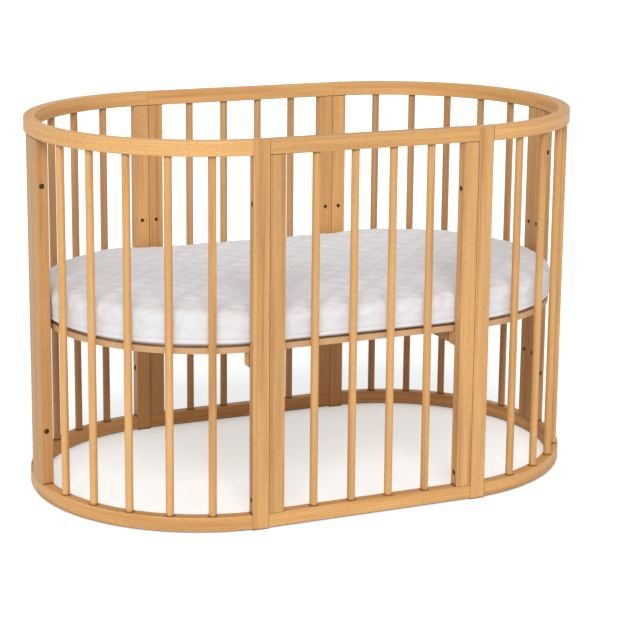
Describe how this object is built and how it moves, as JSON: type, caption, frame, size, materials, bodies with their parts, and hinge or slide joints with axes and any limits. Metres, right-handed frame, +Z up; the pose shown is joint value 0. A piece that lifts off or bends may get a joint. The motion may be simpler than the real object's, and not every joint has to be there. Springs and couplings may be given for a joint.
{
  "type": "baby crib",
  "caption": "Oval slatted beech crib made of bolted straight and quarter round panels, with a lift-out base and a quilted mattress.",
  "frame": {"origin": "on the floor, under the middle of the crib", "axes": "+X along the crib to the right, +Y to the back, +Z up"},
  "size_m": [1.188, 0.736, 0.782],
  "materials": {
    "beech_frame": "clear satin lacquer on warm beech",
    "beech_slats": "clear satin lacquer on warm beech",
    "beech_base": "clear matt lacquer on beech",
    "beech_dowels": "raw beech",
    "base_plywood": "sanded beech plywood with a layered edge",
    "bronzed_steel": "bronzed steel",
    "brass": "plain brass, slightly dulled",
    "quilted_cover": "white quilted cotton",
    "foam": "open cell foam"
  },
  "bodies": {
    "frame": {"base_cleat_back_left": "beech_base", "base_cleat_back_right": "beech_base", "base_cleat_front_left": "beech_base", "base_cleat_front_right": "beech_base", "base_inserts": "brass", "bottom_rail_back": "beech_frame", "bottom_rail_back_left": "beech_frame", "bottom_rail_back_right": "beech_frame", "bottom_rail_front": "beech_frame", "bottom_rail_front_left": "beech_frame", "bottom_rail_front_right": "beech_frame", "cleat_bolts": "bronzed_steel", "connector_bolts": "bronzed_steel", "connector_sleeves": "bronzed_steel", "end_post_back_left": "beech_frame", "end_post_back_right": "beech_frame", "end_post_front_left": "beech_frame", "end_post_front_right": "beech_frame", "full_post_back_left": "beech_frame", "full_post_back_right": "beech_frame", "full_post_front_left": "beech_frame", "full_post_front_right": "beech_frame", "locating_pegs": "beech_dowels", "post_dowels": "beech_dowels", "rail_dowels": "beech_dowels", "slats_back": "beech_slats", "slats_back_left": "beech_slats", "slats_back_right": "beech_slats", "slats_front": "beech_slats", "slats_front_left": "beech_slats", "slats_front_right": "beech_slats", "straight_post_back_left": "beech_frame", "straight_post_back_right": "beech_frame", "straight_post_front_left": "beech_frame", "straight_post_front_right": "beech_frame", "top_rail_back": "beech_frame", "top_rail_back_left": "beech_frame", "top_rail_back_right": "beech_frame", "top_rail_front": "beech_frame", "top_rail_front_left": "beech_frame", "top_rail_front_right": "beech_frame"},
    "base": {"base_left": "base_plywood", "base_middle": "base_plywood", "base_right": "base_plywood", "batten_left": "beech_base", "batten_right": "beech_base", "base_screws": "bronzed_steel"},
    "mattress": {"mattress_cover": "quilted_cover", "mattress_core": "foam"}
  },
  "joints": [
    {"name": "base_lift", "type": "slide", "parent": "frame", "child": "base", "axis": [0, 0, 1], "range_m": [0, 0.47]},
    {"name": "mattress_lift", "type": "slide", "parent": "base", "child": "mattress", "axis": [0, 0, 1], "range_m": [0, 0.43]}
  ]
}
